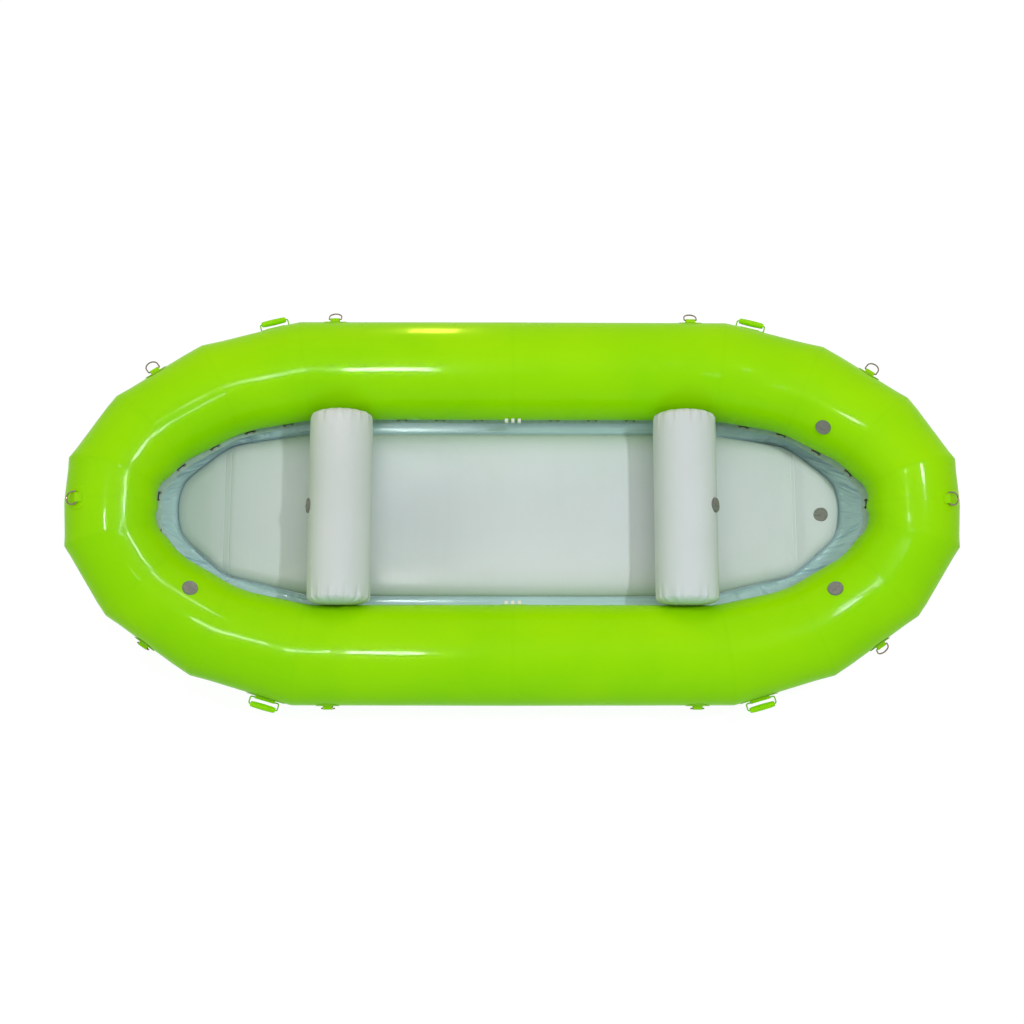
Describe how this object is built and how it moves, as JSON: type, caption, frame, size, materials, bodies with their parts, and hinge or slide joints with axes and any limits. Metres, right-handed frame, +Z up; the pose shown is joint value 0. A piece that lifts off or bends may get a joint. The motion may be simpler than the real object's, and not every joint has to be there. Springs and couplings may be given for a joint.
{
  "type": "whitewater raft",
  "caption": "Inflatable whitewater raft: a ring of tube panels with raised ends, a laced-in floor and two thwarts, with D-rings, carry handles and inflation valves.",
  "frame": {"origin": "on the ground under the middle of the hull", "axes": "+X to the bow, +Y to port, +Z up"},
  "size_m": [4.2728, 1.9814, 0.6389],
  "materials": {
    "baffle_bow": "matte coated fabric",
    "baffle_port": "matte coated fabric",
    "baffle_starboard": "matte coated fabric",
    "dring_bow": "polished stainless wire",
    "dring_patch_bow": "matte coated fabric",
    "dring_patch_quarter_bow_port": "matte coated fabric",
    "dring_patch_quarter_bow_starboard": "matte coated fabric",
    "dring_patch_quarter_stern_port": "matte coated fabric",
    "dring_patch_quarter_stern_starboard": "matte coated fabric",
    "dring_patch_side_bow_port": "matte coated fabric",
    "dring_patch_side_bow_starboard": "matte coated fabric",
    "dring_patch_side_stern_port": "matte coated fabric",
    "dring_patch_side_stern_starboard": "matte coated fabric",
    "dring_patch_stern": "matte coated fabric",
    "dring_quarter_bow_port": "polished stainless wire",
    "dring_quarter_bow_starboard": "polished stainless wire",
    "dring_quarter_stern_port": "polished stainless wire",
    "dring_quarter_stern_starboard": "polished stainless wire",
    "dring_side_bow_port": "polished stainless wire",
    "dring_side_bow_starboard": "polished stainless wire",
    "dring_side_stern_port": "polished stainless wire",
    "dring_side_stern_starboard": "polished stainless wire",
    "dring_stern": "polished stainless wire",
    "floor": "satin coated fabric",
    "floor_flap": "satin coated fabric",
    "handle_bow_port": "webbing with a tube grip",
    "handle_bow_starboard": "webbing with a tube grip",
    "handle_patch_bow_port": "matte coated fabric",
    "handle_patch_bow_starboard": "matte coated fabric",
    "handle_patch_stern_port": "matte coated fabric",
    "handle_patch_stern_starboard": "matte coated fabric",
    "handle_stern_port": "webbing with a tube grip",
    "handle_stern_starboard": "webbing with a tube grip",
    "lace_strip": "matte coated fabric",
    "lacing_cord": "braided cord",
    "loop_strip_port": "woven webbing",
    "loop_strip_starboard": "woven webbing",
    "thwart_bow": "satin coated fabric",
    "thwart_stern": "satin coated fabric",
    "tube_bow_port": "semi-gloss coated fabric",
    "tube_bow_starboard": "semi-gloss coated fabric",
    "tube_stern": "semi-gloss coated fabric",
    "valve_body_bow_port": "moulded plastic",
    "valve_body_bow_starboard": "moulded plastic",
    "valve_body_floor": "moulded plastic",
    "valve_body_stern": "moulded plastic",
    "valve_body_thwart_bow": "moulded plastic",
    "valve_body_thwart_stern": "moulded plastic",
    "valve_cap_bow_port": "moulded plastic",
    "valve_cap_bow_starboard": "moulded plastic",
    "valve_cap_floor": "moulded plastic",
    "valve_cap_stern": "moulded plastic",
    "valve_cap_thwart_bow": "moulded plastic",
    "valve_cap_thwart_stern": "moulded plastic",
    "valve_plunger_bow_port": "moulded plastic",
    "valve_plunger_bow_starboard": "moulded plastic",
    "valve_plunger_floor": "moulded plastic",
    "valve_plunger_stern": "moulded plastic",
    "valve_plunger_thwart_bow": "moulded plastic",
    "valve_plunger_thwart_stern": "moulded plastic"
  },
  "bodies": {
    "hull": {"baffle_bow": "baffle_bow", "baffle_port": "baffle_port", "baffle_starboard": "baffle_starboard", "dring_patch_bow": "dring_patch_bow", "dring_patch_quarter_bow_port": "dring_patch_quarter_bow_port", "dring_patch_quarter_bow_starboard": "dring_patch_quarter_bow_starboard", "dring_patch_quarter_stern_port": "dring_patch_quarter_stern_port", "dring_patch_quarter_stern_starboard": "dring_patch_quarter_stern_starboard", "dring_patch_side_bow_port": "dring_patch_side_bow_port", "dring_patch_side_bow_starboard": "dring_patch_side_bow_starboard", "dring_patch_side_stern_port": "dring_patch_side_stern_port", "dring_patch_side_stern_starboard": "dring_patch_side_stern_starboard", "dring_patch_stern": "dring_patch_stern", "floor": "floor", "floor_flap": "floor_flap", "handle_patch_bow_port": "handle_patch_bow_port", "handle_patch_bow_starboard": "handle_patch_bow_starboard", "handle_patch_stern_port": "handle_patch_stern_port", "handle_patch_stern_starboard": "handle_patch_stern_starboard", "lace_strip": "lace_strip", "lacing_cord": "lacing_cord", "loop_strip_port": "loop_strip_port", "loop_strip_starboard": "loop_strip_starboard", "thwart_bow": "thwart_bow", "thwart_stern": "thwart_stern", "tube_bow_port": "tube_bow_port", "tube_bow_starboard": "tube_bow_starboard", "tube_stern": "tube_stern", "valve_body_bow_port": "valve_body_bow_port", "valve_body_bow_starboard": "valve_body_bow_starboard", "valve_body_floor": "valve_body_floor", "valve_body_stern": "valve_body_stern", "valve_body_thwart_bow": "valve_body_thwart_bow", "valve_body_thwart_stern": "valve_body_thwart_stern"},
    "dring_bow": {"dring_bow": "dring_bow"},
    "dring_quarter_bow_port": {"dring_quarter_bow_port": "dring_quarter_bow_port"},
    "dring_quarter_bow_starboard": {"dring_quarter_bow_starboard": "dring_quarter_bow_starboard"},
    "dring_quarter_stern_port": {"dring_quarter_stern_port": "dring_quarter_stern_port"},
    "dring_quarter_stern_starboard": {"dring_quarter_stern_starboard": "dring_quarter_stern_starboard"},
    "dring_side_bow_port": {"dring_side_bow_port": "dring_side_bow_port"},
    "dring_side_bow_starboard": {"dring_side_bow_starboard": "dring_side_bow_starboard"},
    "dring_side_stern_port": {"dring_side_stern_port": "dring_side_stern_port"},
    "dring_side_stern_starboard": {"dring_side_stern_starboard": "dring_side_stern_starboard"},
    "dring_stern": {"dring_stern": "dring_stern"},
    "handle_bow_port": {"handle_bow_port": "handle_bow_port"},
    "handle_bow_starboard": {"handle_bow_starboard": "handle_bow_starboard"},
    "handle_stern_port": {"handle_stern_port": "handle_stern_port"},
    "handle_stern_starboard": {"handle_stern_starboard": "handle_stern_starboard"},
    "valve_cap_bow_port": {"valve_cap_bow_port": "valve_cap_bow_port"},
    "valve_cap_bow_starboard": {"valve_cap_bow_starboard": "valve_cap_bow_starboard"},
    "valve_cap_floor": {"valve_cap_floor": "valve_cap_floor"},
    "valve_cap_stern": {"valve_cap_stern": "valve_cap_stern"},
    "valve_cap_thwart_bow": {"valve_cap_thwart_bow": "valve_cap_thwart_bow"},
    "valve_cap_thwart_stern": {"valve_cap_thwart_stern": "valve_cap_thwart_stern"},
    "valve_plunger_bow_port": {"valve_plunger_bow_port": "valve_plunger_bow_port"},
    "valve_plunger_bow_starboard": {"valve_plunger_bow_starboard": "valve_plunger_bow_starboard"},
    "valve_plunger_floor": {"valve_plunger_floor": "valve_plunger_floor"},
    "valve_plunger_stern": {"valve_plunger_stern": "valve_plunger_stern"},
    "valve_plunger_thwart_bow": {"valve_plunger_thwart_bow": "valve_plunger_thwart_bow"},
    "valve_plunger_thwart_stern": {"valve_plunger_thwart_stern": "valve_plunger_thwart_stern"}
  },
  "joints": [
    {"name": "dring_bow_hinge", "type": "hinge", "parent": "hull", "child": "dring_bow", "pos_m": [2.03361, 0, 0.62017], "axis": [0.0657, -0.9972, -0.0349], "range_deg": [0, 180]},
    {"name": "dring_quarter_bow_port_hinge", "type": "hinge", "parent": "hull", "child": "dring_quarter_bow_port", "pos_m": [1.75102, 0.66882, 0.39682], "axis": [0.815, -0.5665, 0.1219], "range_deg": [-50, 130]},
    {"name": "dring_quarter_bow_starboard_hinge", "type": "hinge", "parent": "hull", "child": "dring_quarter_bow_starboard", "pos_m": [1.76516, -0.67076, 0.336], "axis": [-0.811, -0.5712, -0.1267], "range_deg": [-35, 145]},
    {"name": "dring_quarter_stern_port_hinge", "type": "hinge", "parent": "hull", "child": "dring_quarter_stern_port", "pos_m": [-1.75102, 0.66882, 0.39682], "axis": [0.815, 0.5665, -0.1219], "range_deg": [-50, 130]},
    {"name": "dring_quarter_stern_starboard_hinge", "type": "hinge", "parent": "hull", "child": "dring_quarter_stern_starboard", "pos_m": [-1.76516, -0.67076, 0.336], "axis": [-0.811, 0.5712, 0.1267], "range_deg": [0, 180]},
    {"name": "dring_side_bow_port_hinge", "type": "hinge", "parent": "hull", "child": "dring_side_bow_port", "pos_m": [0.88558, 0.95429, 0.30863], "axis": [1, 0, 0], "range_deg": [-30, 150]},
    {"name": "dring_side_bow_starboard_hinge", "type": "hinge", "parent": "hull", "child": "dring_side_bow_starboard", "pos_m": [0.88989, -0.963, 0.2425], "axis": [-1, 0, 0], "range_deg": [0, 180]},
    {"name": "dring_side_stern_port_hinge", "type": "hinge", "parent": "hull", "child": "dring_side_stern_port", "pos_m": [-0.88558, 0.95429, 0.30863], "axis": [1, 0, 0], "range_deg": [-30, 150]},
    {"name": "dring_side_stern_starboard_hinge", "type": "hinge", "parent": "hull", "child": "dring_side_stern_starboard", "pos_m": [-0.88989, -0.963, 0.2425], "axis": [-1, 0, 0], "range_deg": [0, 180]},
    {"name": "dring_stern_hinge", "type": "hinge", "parent": "hull", "child": "dring_stern", "pos_m": [-2.03361, 0, 0.62017], "axis": [-0.0657, 0.9972, -0.0349], "range_deg": [0, 180]},
    {"name": "handle_bow_port_hinge", "type": "hinge", "parent": "hull", "child": "handle_bow_port", "pos_m": [1.1899, 0.92335, 0.25792], "axis": [0.9533, -0.2776, 0.1188], "range_deg": [-60, 90]},
    {"name": "handle_bow_starboard_hinge", "type": "hinge", "parent": "hull", "child": "handle_bow_starboard", "pos_m": [1.1899, -0.92335, 0.25792], "axis": [-0.9533, -0.2776, -0.1188], "range_deg": [-60, 90]},
    {"name": "handle_stern_port_hinge", "type": "hinge", "parent": "hull", "child": "handle_stern_port", "pos_m": [-1.1899, 0.92335, 0.25792], "axis": [0.9533, 0.2776, -0.1188], "range_deg": [-60, 90]},
    {"name": "handle_stern_starboard_hinge", "type": "hinge", "parent": "hull", "child": "handle_stern_starboard", "pos_m": [-1.1899, -0.92335, 0.25792], "axis": [-0.9533, 0.2776, 0.1188], "range_deg": [-60, 90]},
    {"name": "valve_cap_bow_port_turn", "type": "hinge", "parent": "hull", "child": "valve_cap_bow_port", "pos_m": [1.48901, 0.37017, 0.47972], "axis": [-0.4646, -0.5589, 0.6868], "range_deg": [0, 90]},
    {"name": "valve_cap_bow_starboard_turn", "type": "hinge", "parent": "hull", "child": "valve_cap_bow_starboard", "pos_m": [1.50987, -0.41169, 0.51648], "axis": [-0.3722, 0.3763, 0.8484], "range_deg": [0, 90]},
    {"name": "valve_cap_floor_turn", "type": "hinge", "parent": "hull", "child": "valve_cap_floor", "pos_m": [1.54, 0, 0.13947], "axis": [-0.2588, 0, 0.9659], "range_deg": [0, 90]},
    {"name": "valve_cap_stern_turn", "type": "hinge", "parent": "hull", "child": "valve_cap_stern", "pos_m": [-1.50987, -0.41169, 0.51648], "axis": [0.3722, 0.3763, 0.8484], "range_deg": [0, 90]},
    {"name": "valve_cap_thwart_bow_turn", "type": "hinge", "parent": "hull", "child": "valve_cap_thwart_bow", "pos_m": [0.96957, 0, 0.42625], "axis": [0.866, 0, 0.5], "range_deg": [0, 90]},
    {"name": "valve_cap_thwart_stern_turn", "type": "hinge", "parent": "hull", "child": "valve_cap_thwart_stern", "pos_m": [-0.9848, 0, 0.38947], "axis": [-0.9659, 0, 0.2588], "range_deg": [0, 90]},
    {"name": "valve_plunger_bow_port_press", "type": "slide", "parent": "hull", "child": "valve_plunger_bow_port", "axis": [0.4646, 0.5589, -0.6868], "range_m": [0, 0.006], "stiffness_N_per_m": 400, "springref_m": -0.003},
    {"name": "valve_plunger_bow_starboard_press", "type": "slide", "parent": "hull", "child": "valve_plunger_bow_starboard", "axis": [0.3722, -0.3763, -0.8484], "range_m": [0, 0.006], "stiffness_N_per_m": 400, "springref_m": -0.003},
    {"name": "valve_plunger_floor_press", "type": "slide", "parent": "hull", "child": "valve_plunger_floor", "axis": [0.2588, 0, -0.9659], "range_m": [0, 0.006], "stiffness_N_per_m": 400, "springref_m": -0.003},
    {"name": "valve_plunger_stern_press", "type": "slide", "parent": "hull", "child": "valve_plunger_stern", "axis": [-0.3722, -0.3763, -0.8484], "range_m": [0, 0.006], "stiffness_N_per_m": 400, "springref_m": -0.003},
    {"name": "valve_plunger_thwart_bow_press", "type": "slide", "parent": "hull", "child": "valve_plunger_thwart_bow", "axis": [-0.866, 0, -0.5], "range_m": [0, 0.006], "stiffness_N_per_m": 400, "springref_m": -0.003},
    {"name": "valve_plunger_thwart_stern_press", "type": "slide", "parent": "hull", "child": "valve_plunger_thwart_stern", "axis": [0.9659, 0, -0.2588], "range_m": [0, 0.006], "stiffness_N_per_m": 400, "springref_m": -0.003}
  ]
}
